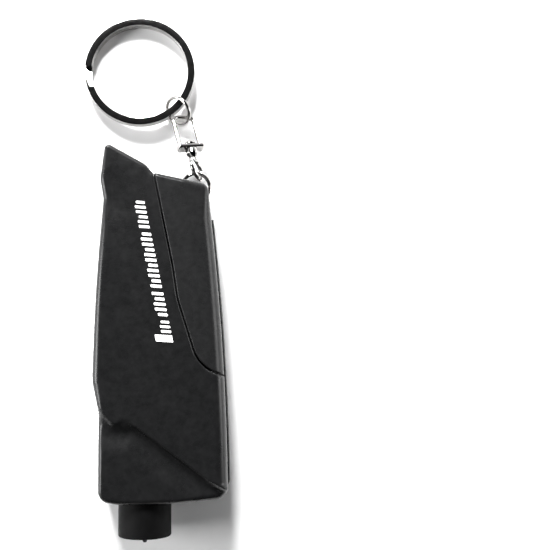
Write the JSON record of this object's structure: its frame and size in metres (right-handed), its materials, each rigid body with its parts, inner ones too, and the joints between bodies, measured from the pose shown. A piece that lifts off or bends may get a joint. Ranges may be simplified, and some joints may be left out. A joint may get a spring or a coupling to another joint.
{
  "type": "keychain emergency escape tool",
  "caption": "Pocket car escape tool on a key ring: sprung glass punch at one end, belt cutter under a pull-off safety clip at the other.",
  "frame": {"origin": "on the rear face, on the punch axis", "axes": "+Y along the tool towards the key ring, +Z out of the front face, +X towards the rail"},
  "size_m": [0.0324, 0.1171, 0.016],
  "materials": {
    "shell_plastic": "fine matte grain",
    "clip_plastic": "fine matte grain",
    "head_plastic": "satin",
    "plug_plastic": "satin",
    "screw_steel": "zinc plated",
    "blade_steel": "ground",
    "pin_steel": "ground",
    "spike_steel": "hardened and ground",
    "striker_steel": "turned",
    "spring_steel": "drawn wire",
    "link_nickel": "polished nickel",
    "swivel_nickel": "polished nickel",
    "key_ring_nickel": "polished nickel"
  },
  "bodies": {
    "housing": {"front_shell": "shell_plastic", "rear_shell": "shell_plastic", "housing_screws": "screw_steel", "belt_blade": "blade_steel", "trip_collar": "striker_steel", "spring_plug": "plug_plastic", "main_spring": "spring_steel"},
    "clip": {"safety_clip": "clip_plastic", "ring_pin": "pin_steel"},
    "clip_ring": {"clip_ring": "link_nickel"},
    "swivel_eye": {"swivel_eye": "swivel_nickel"},
    "swivel_bail": {"swivel_bail": "swivel_nickel"},
    "link_ring": {"link_ring": "link_nickel"},
    "key_ring": {"key_ring": "key_ring_nickel"},
    "head": {"punch_head": "head_plastic"},
    "spike": {"spike": "spike_steel"},
    "striker": {"striker": "striker_steel", "spike_spring": "spring_steel", "trip_spring": "spring_steel"},
    "trip_block": {"trip_block": "striker_steel"}
  },
  "joints": [
    {"name": "clip_slide", "type": "slide", "parent": "housing", "child": "clip", "axis": [-0.0698, 0.9976, 0], "range_m": [0, 0.05]},
    {"name": "ring_swing", "type": "hinge", "parent": "clip", "child": "clip_ring", "pos_m": [0.01106, 0.0282, 0.008], "axis": [0, 0, 1], "range_deg": [-70, 10]},
    {"name": "eye_swing", "type": "hinge", "parent": "clip_ring", "child": "swivel_eye", "pos_m": [0.0115, 0.03287, 0.008], "axis": [0.9703, 0.2419, 0], "range_deg": [-25, 85]},
    {"name": "swivel_spin", "type": "hinge", "parent": "swivel_eye", "child": "swivel_bail", "pos_m": [0.01121, 0.03401, 0.00758], "axis": [-0.2282, 0.9152, -0.3322], "continuous": true},
    {"name": "link_swing", "type": "hinge", "parent": "swivel_bail", "child": "link_ring", "pos_m": [0.00805, 0.04672, 0.00297], "axis": [0.9393, 0.1171, -0.3226], "range_deg": [-60, 25]},
    {"name": "key_ring_turn", "type": "hinge", "parent": "link_ring", "child": "key_ring", "pos_m": [-0.00154, 0.05712, 0.0021], "axis": [-0.0449, 0.0449, 0.998], "continuous": true},
    {"name": "head_press", "type": "slide", "parent": "housing", "child": "head", "axis": [0, 1, 0], "range_m": [0, 0.0065], "stiffness_N_per_m": 400, "springref_m": -0.005},
    {"name": "spike_slide", "type": "slide", "parent": "head", "child": "spike", "axis": [0, 1, 0], "range_m": [0, 0.0017], "stiffness_N_per_m": 150, "springref_m": -0.002, "deforming": ["spike_spring"]},
    {"name": "striker_travel", "type": "slide", "parent": "housing", "child": "striker", "axis": [0, 1, 0], "range_m": [0, 0.0065], "deforming": ["main_spring"]},
    {"name": "trip_shift", "type": "slide", "parent": "striker", "child": "trip_block", "axis": [-1, 0, 0], "range_m": [0, 0.0007], "deforming": ["trip_spring"]}
  ],
  "couplings": [
    {"joint": "striker_travel", "follows": "head_press", "ratio": 1},
    {"joint": "trip_shift", "follows": "head_press", "ratio": 0.10769}
  ]
}
